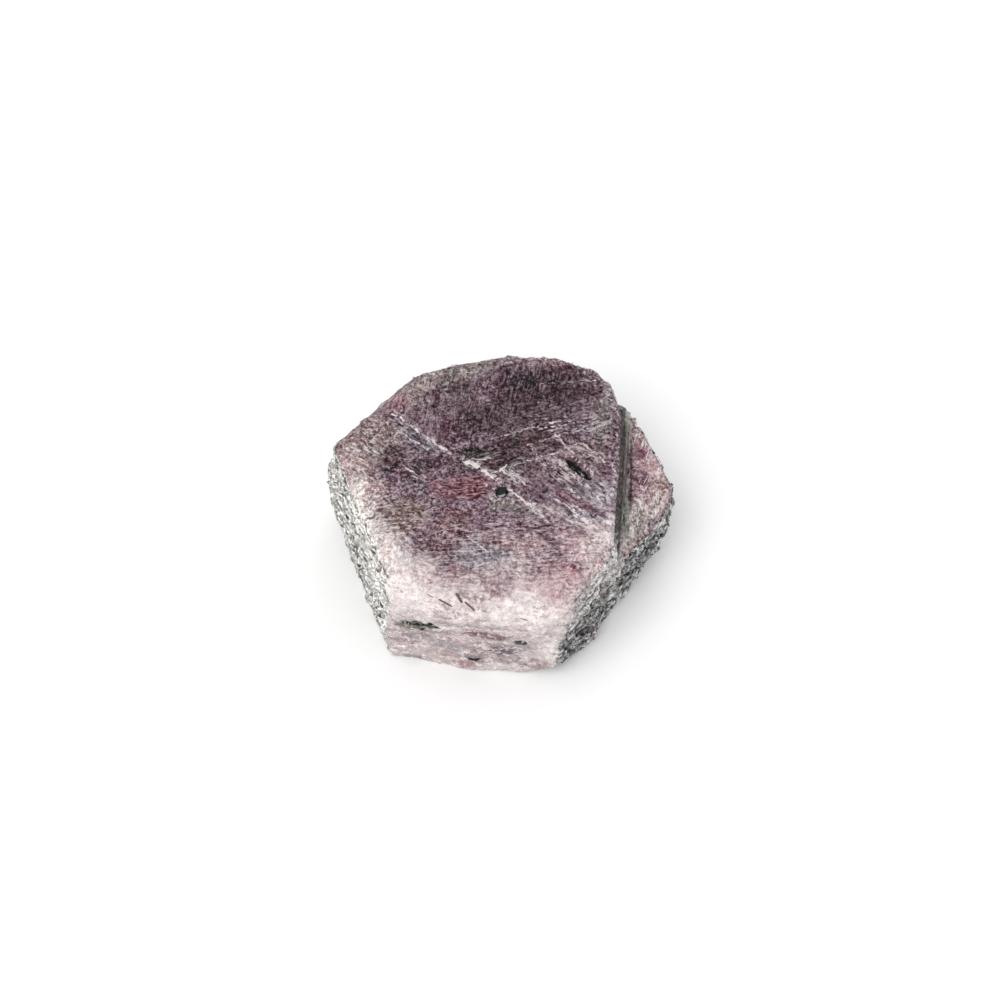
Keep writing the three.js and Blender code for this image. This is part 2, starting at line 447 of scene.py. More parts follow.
# Stains of the top face, as the crystal shows them: middle, half length and half width in
# millimetres, the trace that they run along, their colour, and how strongly they cover.
STAINS = (
    ((-13.2, 4.2), (4.6, 5.0), 60, "8f7e7c", 0.85),   # brown-rose left corner
    ((-15.0, 0.6), (3.4, 2.2), 70, "b59f9c", 0.80),   # its pale tip
    ((-5.5, 13.4), (8.5, 2.0), 22, "807472", 0.90),   # grey back rim
    ((-9.5, 10.6), (3.2, 2.4), 40, "968685", 0.80),
    ((-10.4, 9.4), (1.8, 1.5), 60, "846068", 0.80),   # red spot at the back left
    ((6.5, 14.8), (4.6, 1.3), -12, "84676c", 0.85),   # rosy back rim
    ((-4.5, 9.5), (3.5, 3.2), 80, "5d4d52", 0.75),
    ((4.6, 11.2), (6.6, 4.2), 15, "3d262f", 0.95),    # plum core
    ((0.2, 12.4), (2.4, 1.1), 80, "4e3642", 0.80),
    ((1.8, 12.3), (2.2, 0.55), 82, "2c1f2c", 0.85),   # dark streaks in it
    ((3.4, 12.2), (2.0, 0.55), 84, "2f2029", 0.80),
    ((5.2, 12.0), (1.6, 0.8), 80, "3a2730", 0.60),
    ((8.2, 12.7), (2.2, 1.3), 20, "66545c", 0.65),
    ((10.2, 10.6), (1.6, 1.0), 20, "5a3d47", 0.70),
    ((0.4, 7.2), (6.5, 2.8), 18, "422f37", 0.90),     # plum band behind the bruised lines
    ((-5.2, 5.6), (2.6, 1.9), 80, "502e3d", 0.85),    # wine spot
    ((2.6, 4.4), (4.8, 1.7), 20, "3f232b", 0.90),     # wine blades between the lines
    ((-1.0, 1.5), (4.4, 1.6), 12, "3f282e", 0.90),
    ((4.8, 3.2), (3.0, 0.7), 20, "4e373f", 0.75),
    ((3.4, 0.4), (1.8, 0.8), 20, "4a3339", 0.70),
    ((7.7, -2.2), (1.6, 0.9), -50, "473a40", 0.80),
    ((7.4, 8.2), (3.6, 0.9), 22, "574650", 0.75),
    ((8.2, 6.0), (3.6, 0.7), 18, "64535f", 0.65),
    ((-8.3, 4.3), (3.2, 1.1), -40, "5d5661", 0.80),   # blue-grey strip beside the long line
    ((-10.3, 1.8), (2.2, 1.4), 75, "453138", 0.80),
    ((-7.0, 1.2), (2.6, 0.8), 18, "463239", 0.75),
    ((-3.6, -1.8), (3.5, 1.7), 8, "73434b", 0.90),    # rose heart
    ((-2.4, -2.8), (1.8, 1.0), 0, "6e3f48", 0.70),
    ((-8.4, -1.6), (2.2, 1.0), -35, "665a60", 0.70),
    ((-9.2, -5.2), (3.0, 2.4), 0, "84716b", 0.80),    # brown
    ((-2.2, 2.7), (2.2, 1.0), 0, "2b2723", 0.90),     # olive
    ((1.4, 1.0), (1.6, 0.8), 20, "2e1e22", 0.85),
    ((-4.8, -7.2), (4.0, 2.4), 60, "68464b", 0.80),   # rose, left of the middle
    ((0.9, -4.4), (2.2, 1.0), -20, "77706a", 0.70),
    ((7.4, -3.7), (3.2, 0.9), -40, "66434f", 0.85),   # wine blade
    ((8.6, 2.2), (3.2, 2.6), 60, "7b666a", 0.80),
    ((10.6, 7.0), (4.2, 1.4), 86, "746c6b", 0.80),    # grey edge over the break
    ((9.8, -2.6), (2.2, 2.4), 60, "9a9399", 0.80),    # lavender
    ((3.4, -4.6), (1.9, 0.7), -40, "b5aaaa", 0.75),   # white drifts
    ((8.6, -6.4), (3.2, 1.3), -35, "c0b5b9", 0.80),
    ((-1.6, -10.2), (4.6, 1.6), 5, "888289", 0.80),   # blue-grey, before the shoulder
    ((6.0, -12.4), (2.0, 2.4), 60, "9c6f74", 0.75),   # pink-red, right of the shoulder
    ((2.9, -9.4), (2.4, 1.5), 0, "ab9396", 0.75),
    ((1.8, -11.6), (2.0, 1.4), 0, "c2b2b3", 0.80),
    ((5.4, -4.8), (1.6, 0.8), -40, "a89a9c", 0.70),
    ((9.3, -10.8), (0.5, 0.35), 0, "b5813f", 0.55),   # orange speck
    ((-12.9, -6.0), (4.8, 1.4), -72, "d9cfca", 0.90),  # white left rim
    ((-13.0, -2.4), (2.4, 2.2), 0, "b8a5a2", 0.80),
    ((-14.6, -2.6), (1.6, 2.6), -20, "dcd2cc", 0.90),
    ((-11.4, -8.8), (2.7, 2.6), 0, "cfc1bd", 0.85),
    ((-12.75, -5.25), (0.75, 0.13), 5, "43342e", 0.95),  # crack
    ((0.2, -8.4), (2.4, 1.2), 0, "a3898d", 0.60),
    ((7.6, -9.2), (3.0, 1.6), -35, "b89fa2", 0.70),
    ((9.6, -9.8), (1.6, 3.4), -10, "d2c0bf", 0.75),   # pale right rim
    ((11.2, -7.4), (1.2, 2.4), -10, "d9cfcf", 0.85),
)
MAUVE_GREY = "76606a"
CREAM_HIGHLIGHT = "d8cccb"
# White of bruises and frosted grains, also used for painted glints and painted highlights on edges.
FROST_GLINT_WHITE = "ebe2e2"
PITCH_AND_SHADE = "1c1a1c"
HOLLOW_SHADE = "0b0a0b"
STONE_SHINE = 0.18
SHOULDER_WAY = 266           # azimuth that the top fades to white along
DARK_RIGHT, DARK_BACK = 330, 75    # azimuths of the sides with the darkest mica

skin_paint, shader, place = new_paint("ruby_in_mica")
shader.inputs["Specular IOR Level"].default_value = STONE_SHINE
facing = attribute(place.tree, "facing", "Vector")
proud = attribute(place.tree, "proud")
proud_broad = attribute(place.tree, "proud_broad")
depth = part_of(place, "Y")
up = part_of(place, "Z")
lift = part_of(facing, "Z")

# Wandering borders for everything that is laid out by place.
drift = cloud(place, 1.6, 21, 3.0).output("Color")
near = place + (drift - 0.5) * 2.4
ragged = cloud(place, 0.5, 22, 2.0).output("Color")
near_fine = place + (ragged - 0.5) * 0.35

# Grain that every part of the stone shares: mottling, blotches, salt and pepper, and frost, whose white
# specks are also painted glints.
mottle = spread(cloud(place, (2.6, 2.6, 2.0), 23, 3.0, 0.65))
blotch = spread(cloud(place, (0.80, 0.80, 0.70), 28, 2.0, 0.7))
pepper = spread(cloud(place, (0.42, 0.42, 0.40), 24, 2.0, 0.95), 0.38, 0.62)
clusters = cloud(place, 3.0, 27, 2.0)
frosty = cloud(place, 0.30, 26, 2.0, 0.7) + (clusters - 0.5) * 0.25
# Painted glints: white specks in the colour stand in for grains that catch the light.
frost_and_glints = rise(frosty, 0.60, 0.65)
shards = cells(turned(near_fine, -40), (0.42, 0.26, 0.30), 29).output("Color")
shard = part_of(shards, "X")

# Fibres lie one way in each part of the top face: the part's middle, its half length and half
# width, its own turn, and how white its fibres are bruised. They are grouped by the fibres' turn.
FIBRES = (
    (80, (((-1.0, 10.5), (16.0, 6.0), 0, 0.04), ((3.0, 12.6), (3.2, 2.4), 0, 0.12),
          ((-6.5, 7.0), (4.0, 4.5), 0, 0.08), ((-5.0, -8.0), (3.0, 2.6), 0, 0.15))),
    (-42, (((7.0, -1.4), (8.0, 5.2), -42, 0.10), ((1.8, -0.8), (2.6, 1.1), -40, 0.50),
           ((5.6, 0.8), (2.8, 1.5), -50, 0.60), ((9.6, -2.2), (2.2, 1.4), -50, 0.60),
           ((3.6, -4.8), (2.6, 0.8), -40, 1.00), ((8.4, -6.0), (3.4, 1.3), -38, 0.95),
           ((-9.0, 5.6), (3.8, 1.2), -42, 0.25), ((-7.6, -0.4), (2.6, 0.9), -42, 0.45),
           ((-14.2, 1.6), (3.0, 3.6), -55, 0.55), ((9.3, 3.0), (2.2, 1.4), -45, 0.40),
           ((-2.6, 1.0), (1.5, 0.35), -40, 0.90))),
    (20, (((5.2, 7.0), (6.5, 3.0), 20, 0.10), ((5.9, 6.5), (2.1, 1.3), 0, 1.00),
          ((8.8, 6.2), (3.2, 1.2), 18, 0.45), ((-1.6, 1.9), (3.0, 0.8), 18, 0.15),
          ((3.0, 1.6), (3.4, 0.7), 20, 0.25))),
    (3, (((-3.4, -1.9), (3.8, 2.2), 3, 0.20), ((1.0, -9.5), (12.0, 5.0), 0, 0.30),
         ((-10.0, -6.0), (3.5, 3.0), 0, 0.45))),
)
FIBRE_SIZE = (1.3, 0.21, 0.5)
near_thin = place + (ragged - 0.5) * 0.16
grain = pepper
whites = None
bruised = None
for count, (turn, fields) in enumerate(FIBRES):
    fibre = spread(cloud(turned(near_thin, turn), FIBRE_SIZE, 31 + count, 2.0, 0.9), 0.37, 0.63)
    lies = None
    whitened = None
    for middle, size, slant, white in fields:
        share = spot(near, middle, size, slant, 0.55, 1.10)
        lies = larger(lies, share)
        whitened = larger(whitened, share * white)
    grain = between(grain, fibre * 0.55 + pepper * 0.45, lies * 0.80)
    chipping = fibre * 0.55 + pepper * 0.15 + shard * 0.30 + (clusters - 0.5) * 0.5
    whites = larger(whites, rise(chipping, 0.60, 0.68) * whitened)
    bruised = larger(bruised, whitened)

body = MAUVE_GREY
for middle, size, turn, code, strength in STAINS:
    body = mixed(body, code, spot(near, middle, size, turn) * strength)
front_reach = toward(place, SHOULDER_WAY)
to_left = rise(-part_of(place, "X") + (clusters - 0.5) * 3, 5.0, 10.0)
front_fade = rise(front_reach + (clusters - 0.5) * 6 + to_left * 2.5, 9.2, 14.5)
body = mixed(body, mixed("b8a3a4", "e0d4d0", to_left), front_fade * 0.85)

# How near the closest bruised line is, in its own widths: a chipped white core in a frosted halo.
FINE_LINE, FINE_BREAKS = 0.16, 4    # lines finer than the first are broken, and wider ones whole
nearness = None
near_line = place + (ragged - 0.5) * 0.55
for start, end, width in BRUISES:
    off = from_line(near_line, start, end) * (1 / width) + (FINE_LINE - width) * FINE_BREAKS
    nearness = smaller(nearness, off)
chipped = (shard - 0.5) * 1.5 + (blotch - 0.5) * 1.5 + (mottle - 0.5) * 1.0
core = (1 - rise(nearness + chipped, 0.35, 0.75)) * 0.95
halo = (1 - rise(nearness, 0.8, 4.5)) * rise(clusters, 0.40, 0.56)

# Broad up-and-down streaks in the back half, where the stone is darkest.
streaky = spread(cloud(turned(near_fine, 80), (3.4, 0.60, 1.0), 45, 2.0))
streaky = (streaky - 0.5) * rise(depth, 2.5, 6.5)

hue = cloud(place, 1.6, 42, 3.0)
body = mixed(body, body * (1.06, 0.96, 0.98), rise(hue, 0.52, 0.62))
body = mixed(body, body * (0.97, 1.0, 1.03), rise(hue, 0.48, 0.38))
gaps = rise(part_of(shards, "Y"), 0.88, 0.90)
# Painted shade: the colour is darker where the surface lies sunk in crevices.
crevice_shade = rise(proud, -0.010, -0.05)
step = (grain - 0.5) * 0.45 + (shard - 0.5) * 0.07 + (mottle - 0.5) * 0.08 + (blotch - 0.5) * 0.05
step = step + streaky * 0.10 + frost_and_glints * 0.13 - larger(gaps, crevice_shade) * 0.15
step = step - bruised * rise(shard, 0.42, 0.22) * 0.16
step = step * (1 - front_fade * 0.30) + rise(-depth, 0.0, 6.0) * 0.025
top = lighter(body, step)
# Proud edges are whitened, partly by wear and partly as a painted highlight on ridges.
worn_edge_and_highlight = rise(proud_broad, 0.03, 0.16)
# Painted shade: the pit and the socket of the middle grain are painted near black.
pit = spot(near_line, (7.95, 0.60), (1.95, 0.42), -49, 0.75, 1.05)
socket = spot(near_line, (0.30, -2.40), (0.90, 0.66), 75, 0.80, 1.05)
top = mixed(top, HOLLOW_SHADE, larger(pit, socket) * 0.95)
pale = larger(whites, core)
pale = larger(pale, rise(frosty, 0.52, 0.58) * larger(halo * 0.75, worn_edge_and_highlight * 0.9))
rim = spot(near_thin, (-0.15, -2.75), (0.95, 0.85), 70, 0.80, 1.15)
pale = larger(pale, rim * rise(frosty, 0.50, 0.55) * 0.60)
top = mixed(top, FROST_GLINT_WHITE, pale * (1 - larger(pit, socket)))

# The white shoulder and the pinkish front side, with fine streaks that run across. Its stains
# are placed by X and by height: middle, half length and half height, colour, and strength.
FRONT_STAINS = (
    ((-8.0, 6.4), (2.4, 0.9), "6a645c", 0.95),    # mica patch
    ((-7.4, 6.7), (1.6, 0.5), "4c4741", 0.95),
    ((-4.8, 7.4), (2.0, 0.45), "9d9290", 0.70),
    ((-1.2, 6.1), (2.9, 0.65), "86686c", 1.00),   # mauve streak
    ((3.6, 6.6), (2.0, 0.35), "b39a9c", 0.60),
    ((0.3, 3.9), (1.7, 0.95), "7c6d76", 1.00),    # violet patch
    ((-5.3, 3.8), (3.0, 1.2), "b0a6a9", 0.75),
    ((-8.0, 2.2), (2.8, 1.1), "d8c7c6", 0.70),
    ((2.0, 5.4), (0.6, 0.35), "5a6059", 0.80),    # green grains
    ((-2.4, 2.1), (1.1, 0.55), "62665f", 0.80),
    ((-3.6, 0.9), (1.6, 0.5), "b98f8b", 0.60),
    ((0.2, 1.0), (2.2, 0.8), "e4dcda", 0.80),
    ((6.4, 4.6), (3.2, 3.0), "f2e8e5", 0.85),
)
streaks = spread(cloud(turned(near_fine, -8), (1.4, 0.6, 0.20), 51, 4.0, 0.7), 0.30, 0.70)
wisps = cloud(turned(near, -15), (2.6, 1.0, 0.7), 52, 4.0, 0.6)
low = 1 - rise(up + (clusters - 0.5) * 6 + (wisps - 0.5) * 5, 5.6, 8.8)
LENS_SIZE = (2.4, 2.4, 0.75)    # the front side breaks into flat lenses
lens_place = near_fine + (drift - 0.5) * 2.2
lens = cells(lens_place, LENS_SIZE, 57)
patch = part_of(lens.output("Color"), "X")
vein = 1 - rise(cells(lens_place, LENS_SIZE, 57, "DISTANCE_TO_EDGE"), 0.02, 0.11)
front = mixed("efe5e3", "d5c8c7", low)
front = mixed(front, "a68d91", rise(patch, 0.60, 0.64) * (0.20 + low * 0.50))
front = mixed(front, "8d808a", rise(patch, 0.24, 0.20) * low * 0.65)
front = mixed(front, "bda9a9", rise(wisps, 0.52, 0.62) * (0.35 + low * 0.35))
for (x, z), (long, tall), code, strength in FRONT_STAINS:
    share = spot(near_fine, (x, 0, z), (long, 0, tall), core=0.5, rim=1.2) * strength
    front = mixed(front, code, share * rise(streaks, -0.2, 0.3))
blush = spot(near, (5.8, -13.4), (2.3, 1.9), 60, rim=1.10)
front = mixed(front, "c59a9d", blush * 0.75)
front = mixed(front, "f4edeb", vein * rise(streaks, 0.40, 0.60) * (0.20 + low * 0.50))
step = (streaks - 0.5) * 0.14 + (pepper - 0.5) * 0.10 + (shard - 0.5) * 0.06 + (blotch - 0.5) * 0.08
front = lighter(front, step)
front = mixed(front, "8e6d6f", rise(cloud(near_fine, (0.8, 0.8, 0.14), 54, 3.0), 0.62, 0.70) * 0.6)
front = mixed(front, FROST_GLINT_WHITE, frost_and_glints * 0.5)
specks = rise(cloud(place, (0.45, 0.45, 0.16), 55, 2.0), 0.66, 0.72)
front = mixed(front, PITCH_AND_SHADE, specks * (0.35 + low * 0.4))

# The mica skin of the other sides: leaves in grey, green-grey and silver, with black between them.
leaf = cloud(near_fine, (2.0, 2.0, 0.34), 61, 4.0, 0.68)
sheen = cloud(near_fine, (0.8, 0.8, 0.16), 62, 3.0, 0.7)
specks = rise(cloud(near_fine, (1.3, 1.3, 0.26), 64, 2.0), 0.60, 0.66)
flakes = cells(near_fine, (0.85, 0.85, 0.17), 65).output("Color")
flake = part_of(flakes, "X")
pale_side = mixed("dbd8d4", "a5a7a2", rise(leaf, 0.50, 0.60))
pale_side = mixed(pale_side, "eae4e1", rise(leaf, 0.46, 0.38))
pale_side = mixed(pale_side, "5f625e", rise(sheen, 0.56, 0.64) * 0.8)
pale_side = mixed(pale_side, PITCH_AND_SHADE, specks * 0.9)
dark_side = mixed("a0a0a0", "242425", rise(leaf, 0.50, 0.58))
dark_side = mixed(dark_side, "d2d1d0", rise(leaf, 0.45, 0.38))
dark_side = mixed(dark_side, "dad9d8", rise(sheen, 0.59, 0.63) * 0.8)
dark_side = mixed(dark_side, "1a1a1b", rise(sheen, 0.42, 0.36) * 0.85)
rosy = rise(cloud(place, (3.0, 3.0, 1.6), 63, 2.0), 0.56, 0.66)
dark_side = mixed(dark_side, "9a8387", rosy * 0.5)
on_right = rise(toward(facing, DARK_RIGHT) + (clusters - 0.5) * 0.5, 0.35, 0.7)
on_back = rise(toward(facing, DARK_BACK) + (clusters - 0.5) * 0.9, 0.2, 0.9)
side = mixed(pale_side, dark_side, larger(on_right, on_back * 0.75))
left_rim = rise(toward(facing, LEFT), 0.35, 0.70) * rise(-depth, 0.0, 3.0)
left_rim = left_rim * rise(up + (clusters - 0.5) * 3 + (mottle - 0.5), 7.2, 9.0)
side = mixed(side, mixed("dedbd6", "c8c5bf", mottle), left_rim * 0.9)
bald = on_right * rise(up + (clusters - 0.5) * 3, 6.0, 7.4) * rise(-depth + (mottle - 0.5) * 2, 6.0, 8.5)
side = mixed(side, mixed("b4b0af", "d0cac9", mottle), bald * 0.9)
step = (pepper - 0.5) * 0.34 + (flake - 0.5) * 0.40 + (leaf - 0.5) * 0.5 + (mottle - 0.5) * 0.12 + 0.05
side = lighter(side, step)
side = mixed(side, PITCH_AND_SHADE, rise(part_of(flakes, "Y"), 0.88, 0.92) * 0.8)
# Painted shade in the hollows of the sides, and a painted highlight on their proud ridges.
side = mixed(side, PITCH_AND_SHADE, rise(proud_broad, -0.03, -0.14) * 0.8)
side = mixed(side, CREAM_HIGHLIGHT, rise(proud_broad, 0.08, 0.22) * pepper * 0.7)

# The pink ledge on the right, with wine spots and white veins, and the green-grey groove behind.
# Its stains: middle, half sizes along X and Y, colour, and strength.
LEDGE_STAINS = (
    ((14.6, 5.4), (0.8, 1.6), "96687a", 0.80),
    ((15.3, 3.9), (0.8, 1.0), "a97f86", 0.70),
    ((14.4, 1.7), (0.9, 1.3), "6c475a", 0.85),
    ((14.8, 0.2), (0.9, 0.7), "8d6570", 0.70),
    ((16.5, 1.2), (0.6, 1.2), "998078", 0.70),
    ((16.2, 3.6), (0.5, 2.4), "c3adae", 0.70),
    ((14.9, -3.4), (0.35, 0.4), "45303a", 0.80),
    ((13.9, -3.6), (0.6, 1.8), "6e6862", 0.70),
)
ledge = mixed("a98f92", "b9aeaa", rise(-depth + (clusters - 0.5) * 3, 0.2, 2.2) * 0.8)
for middle, size, code, strength in LEDGE_STAINS:
    share = spot(near_fine + (drift - 0.5), middle, size, core=0.5) * strength
    ledge = mixed(ledge, code, share)
step = (pepper - 0.5) * 0.34 + (shard - 0.5) * 0.14 + (mottle - 0.5) * 0.16 + (blotch - 0.5) * 0.10
ledge = lighter(ledge, step)
ledge = mixed(ledge, "3f2430", rise(cloud(near_fine, (0.9, 1.2, 1.0), 72, 3.0), 0.62, 0.68) * 0.7)
ledge_vein = rise(cloud(turned(near_thin, 75), (1.6, 0.22, 0.6), 74, 3.0, 0.6), 0.56, 0.62)
ledge = mixed(ledge, FROST_GLINT_WHITE, larger(frost_and_glints * 0.8, ledge_vein * rise(clusters, 0.40, 0.60) * 0.9))
combed = spread(cloud(turned(near_thin, 88), (2.4, 0.22, 0.22), 73, 3.0, 0.7), 0.36, 0.64)
chlorite = mixed("8f827b", "dcd3cb", combed)
green = rise(-depth + (mottle - 0.5) * 2, 0.2, 1.8)
chlorite = mixed(chlorite, mixed("5c635a", "949a8c", combed), green * 0.9)
chlorite = mixed(chlorite, "a3a89e", rise(depth + (mottle - 0.5) * 2, 5.6, 8.0) * 0.8)
chlorite = lighter(chlorite, (pepper - 0.5) * 0.20 + (shard - 0.5) * 0.10)
ragged_one = part_of(ragged, "X")
break_way = toward(place, BREAK_TURN)
below = 1 - rise(up, 9.7, 10.6)
on_ledge = rise(break_way, 12.2, 12.6) * below * rise(lift, 0.60, 0.85)
fading = rise(depth + (mottle - 0.5) * 1.6, -8.2, -6.4)
# Painted shade: the steep break face is painted near black, as if in shadow.
break_face = rise(break_way, 11.5, 11.75) * (1 - rise(break_way, 12.35, 12.5)) * rise(up, 7.6, 8.4)
break_face = break_face * (1 - rise(lift, 0.45, 0.70)) * fading
# The foot of the break gets a painted shade line, in the crease where it meets the groove.
FOOT_AT = 12.05              # how far out the dark line at the foot of the break runs
rib_near = 1 - rise(abs(break_way + (ragged_one - 0.5) * 0.3 - GROOVE_MIDDLE), 0.12, 0.28)
foot_shade = 1 - rise(abs(break_way + (ragged_one - 0.5) * 0.3 - FOOT_AT), 0.14, 0.30)
chlorite = mixed(chlorite, "d6d2ca", rib_near * (1 - green * 0.75) * rise(combed, 0.0, 0.4) * 0.9)
chlorite = mixed(chlorite, "292420", foot_shade * rise(depth, -4.0, -2.4) * 0.85)
groove_edge = break_way + (mottle - 0.5) * 0.5 - green * 0.4
in_groove = rise(break_way, 11.6, 11.9) * (1 - rise(groove_edge, 12.65, 12.95))
in_groove = in_groove * between(0.8, 1.0, green) * (1 - rise(up, 9.3, 11.2)) * rise(up, 7.0, 7.8)
in_groove = in_groove * rise(depth + (mottle - 0.5) * 1.6, -6.0, -4.4)

# The parts are laid over each other by the way that the surface faces.
wander = (clusters - 0.5) * 0.5 + (mottle - 0.5) * 0.12
toward_front = toward(facing, FRONT)
shoulder = rise(front_reach + (clusters - 0.5) * 4 + (wisps - 0.5) * 8 + to_left * 1.6, 12.6, 15.2)
shoulder = shoulder * rise(toward_front, 0.0, 0.15)
wall = 1 - rise(lift + wander * 0.6, 0.35, 0.60)
on_front = rise(toward_front + wander * 0.7 + (1 - to_left) * rise(up, 0.0, 9.5) * 0.20, 0.62, 0.78)
colour = mixed(top, ledge, on_ledge)
colour = mixed(colour, front, shoulder)
colour = mixed(colour, side, wall * (1 - on_front))
colour = mixed(colour, chlorite, in_groove * 0.9)
ridge_shade = (1 - rise(from_line(near_thin, (13.50, 6.4), (13.25, -0.9)), 0.05, 0.16)) * below
colour = mixed(colour, "37322f", ridge_shade * 0.6)
# Painted shade over the break face, with a little grain in it.
break_shade_colour = mixed("161211", "564e4a", flake * 0.65 + pepper * 0.35)
colour = mixed(colour, break_shade_colour, break_face * 0.9)
colour.into(shader, "Base Color")

# Facets that are each tilted their own way, so that single grains glint.
FACET, FACET_SEED = 0.34, 81
glitter = cells(place, FACET, FACET_SEED)
off_middle = cell_place(place, FACET, FACET_SEED) - glitter.output("Position")
tilt = dot(off_middle, glitter.output("Color") - 0.5)
rough = 0.60 - frost_and_glints * 0.20 - rise(part_of(glitter.output("Color"), "Y"), 0.80, 0.82) * 0.30 - wall * 0.08
rough.into(shader, "Roughness")
height = grain * 0.09 + whites * 0.05 + core * 0.08 + frost_and_glints * 0.04
height = height + leaf * wall * 0.22 + tilt * (0.06 + wall * 0.10)
bump(height, 0.8, 1.0).into(shader, "Normal")
crystal.data.materials.clear()
crystal.data.materials.append(skin_paint)
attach(crystal, "root")
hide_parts(CRYSTAL_NODE)

# ----------------------------------------------------------
# Mica: thin ragged leaves, left from the schist, that cling to the sides and lie along them.
# They are black and silvery on the right and at the back, and greener and paler on the left.

LEAF_SEEDS = (3, 8, 14)
LEAF_ACROSS = 0.58
LEAF_THICK = 0.05
LEAF_SIDES = 7
LEAF_STRETCH = (1.7, 0.75, 1.0)
LEAF_RAGGED = 0.10
LEAF_STEP = (0.07, 0.03)     # a second, smaller leaf on the first: how far in and how far up
LEAF_SHIFT = (0.05, 0.02)
LEAVES_PER_MM2 = 3.6
LEAF_SIZES = (0.30, 1.05)
LEAF_TILT = 12
LEAF_TURN = 0.4              # how far, in radians, a leaf may turn from lying level
SCATTER_SEED = 5


def select_faces(piece, wanted):
    """In edit mode, selects just the faces that the test wants."""
    bpy.ops.object.mode_set(mode="OBJECT")
    for face in piece.data.polygons:
        face.select = wanted(face)
    bpy.ops.object.mode_set(mode="EDIT")


leaf_kinds = []
for seed in LEAF_SEEDS:
    bpy.ops.object.select_all(action="DESELECT")
    bpy.ops.mesh.primitive_cylinder_add(
        vertices=LEAF_SIDES, radius=LEAF_ACROSS / 2 * MM, depth=LEAF_THICK * MM)
    leaf_piece = bpy.context.object
    leaf_piece.name = f"mica_leaf_{seed}"
    bpy.ops.object.mode_set(mode="EDIT")
    bpy.ops.mesh.select_mode(type="FACE")
    bpy.ops.mesh.select_all(action="SELECT")
    bpy.ops.transform.resize(value=LEAF_STRETCH)
    bpy.ops.transform.vertex_random(offset=LEAF_RAGGED * MM, seed=seed)
    select_faces(leaf_piece, lambda face: face.normal.z > 0.7)
    bpy.ops.mesh.inset(thickness=LEAF_STEP[0] * MM, depth=LEAF_STEP[1] * MM)
    bpy.ops.transform.translate(value=(LEAF_SHIFT[0] * MM, LEAF_SHIFT[1] * MM, 0.0))
    bpy.ops.object.mode_set(mode="OBJECT")
    leaf_kinds.append(leaf_piece)

bpy.ops.object.select_all(action="DESELECT")
mica = bpy.data.objects.new("mica_leaves", crystal.data.copy())
mica.data.materials.clear()
bpy.context.collection.objects.link(mica)
scatter, skin_mesh = new_modifier(mica, "scatter")
tree = scatter.node_group
here = position(tree) / MM
up = part_of(here, "Z")
facing = read(tree, "facing", "FLOAT_VECTOR")
lift = part_of(facing, "Z")
to_left = toward(facing, LEFT)

# Leaves grow on the sides only: not on the front shoulder, the break, the left rim or bare patches.
side_share = rise(lift, -0.80, -0.60) * (1 - rise(lift, 0.10, 0.30)) * rise(up, 0.5, 0.9)
bare_front = rise(toward(facing, FRONT), 0.60, 0.82)
left_share = rise(to_left, 0.55, 0.85) * 0.70
gathered = rise(cloud(here, (2.2, 2.2, 1.2), 91, 2.0), 0.40, 0.62)
break_way = toward(here, BREAK_TURN)
at_break = rise(break_way, 11.0, 11.5) * (1 - rise(break_way, 13.6, 13.9)) * rise(up, 7.0, 7.6)
side_share = side_share * (1 - at_break) * (1 - rise(up, 8.4, 10.6))
bald = rise(toward(facing, RIGHT), 0.4, 0.7) * rise(up, 5.8, 6.8) * rise(part_of(here, "Y"), -6.5, -8.5)
side_share = side_share * (1 - rise(to_left, 0.35, 0.70) * rise(up, 6.6, 8.0))
density = side_share * (1 - bare_front) * (1 - left_share) * (1 - bald) * (0.25 + gathered * 0.75)
density = density * (LEAVES_PER_MM2 / MM ** 2)
points = skin_mesh.node("GeometryNodeDistributePointsOnFaces", {"distribute_method": "RANDOM"},
                        {"Mesh": skin_mesh, "Density": density, "Seed": SCATTER_SEED})


def draw(tree, kind, low, high, seed):
    """A random number or vector for each point."""
    places = {"FLOAT": (2, 3, 1), "FLOAT_VECTOR": (0, 1, 0)}[kind]
    sockets = {places[0]: low, places[1]: high, "Seed": seed}
    return Signal(tree).node("FunctionNodeRandomValue", {"data_type": kind}, sockets, places[2])


level = facing.node("ShaderNodeVectorMath", {"operation": "CROSS_PRODUCT"}, {0: (0, 0, 1), 1: facing})
laid = level.node("FunctionNodeAlignRotationToVector", {"axis": "X"}, {"Vector": level})
laid = laid.node("FunctionNodeAlignRotationToVector", {"axis": "Z", "pivot_axis": "X"},
                 {"Rotation": laid, "Vector": facing})
tilt_most = math.radians(LEAF_TILT)
spin_most = (tilt_most, tilt_most, LEAF_TURN)
spin = draw(tree, "FLOAT_VECTOR", tuple(-most for most in spin_most), spin_most, 11)
laid = laid.node("FunctionNodeRotateRotation", {"rotation_space": "LOCAL"},
                 {"Rotation": laid, "Rotate By": spin})
luck = draw(tree, "FLOAT", 0.0, 1.0, 12)
size = LEAF_SIZES[0] + luck * luck * (LEAF_SIZES[1] - LEAF_SIZES[0])
kinds = Signal(tree).node("GeometryNodeJoinGeometry")
for leaf_piece in reversed(leaf_kinds):
    sockets = {"Object": leaf_piece, "As Instance": True}
    shown = kinds.node("GeometryNodeObjectInfo", {}, sockets, "Geometry")
    tree.links.new(shown.socket, kinds.socket.node.inputs[0])
choice = draw(tree, "FLOAT", 0.0, len(LEAF_SEEDS) - 0.01, 13)
sockets = {"Points": points, "Instance": kinds, "Pick Instance": True, "Instance Index": choice,
           "Rotation": laid, "Scale": size}
leaves = points.node("GeometryNodeInstanceOnPoints", {}, sockets)
tone = draw(tree, "FLOAT", 0.0, 1.0, 14)
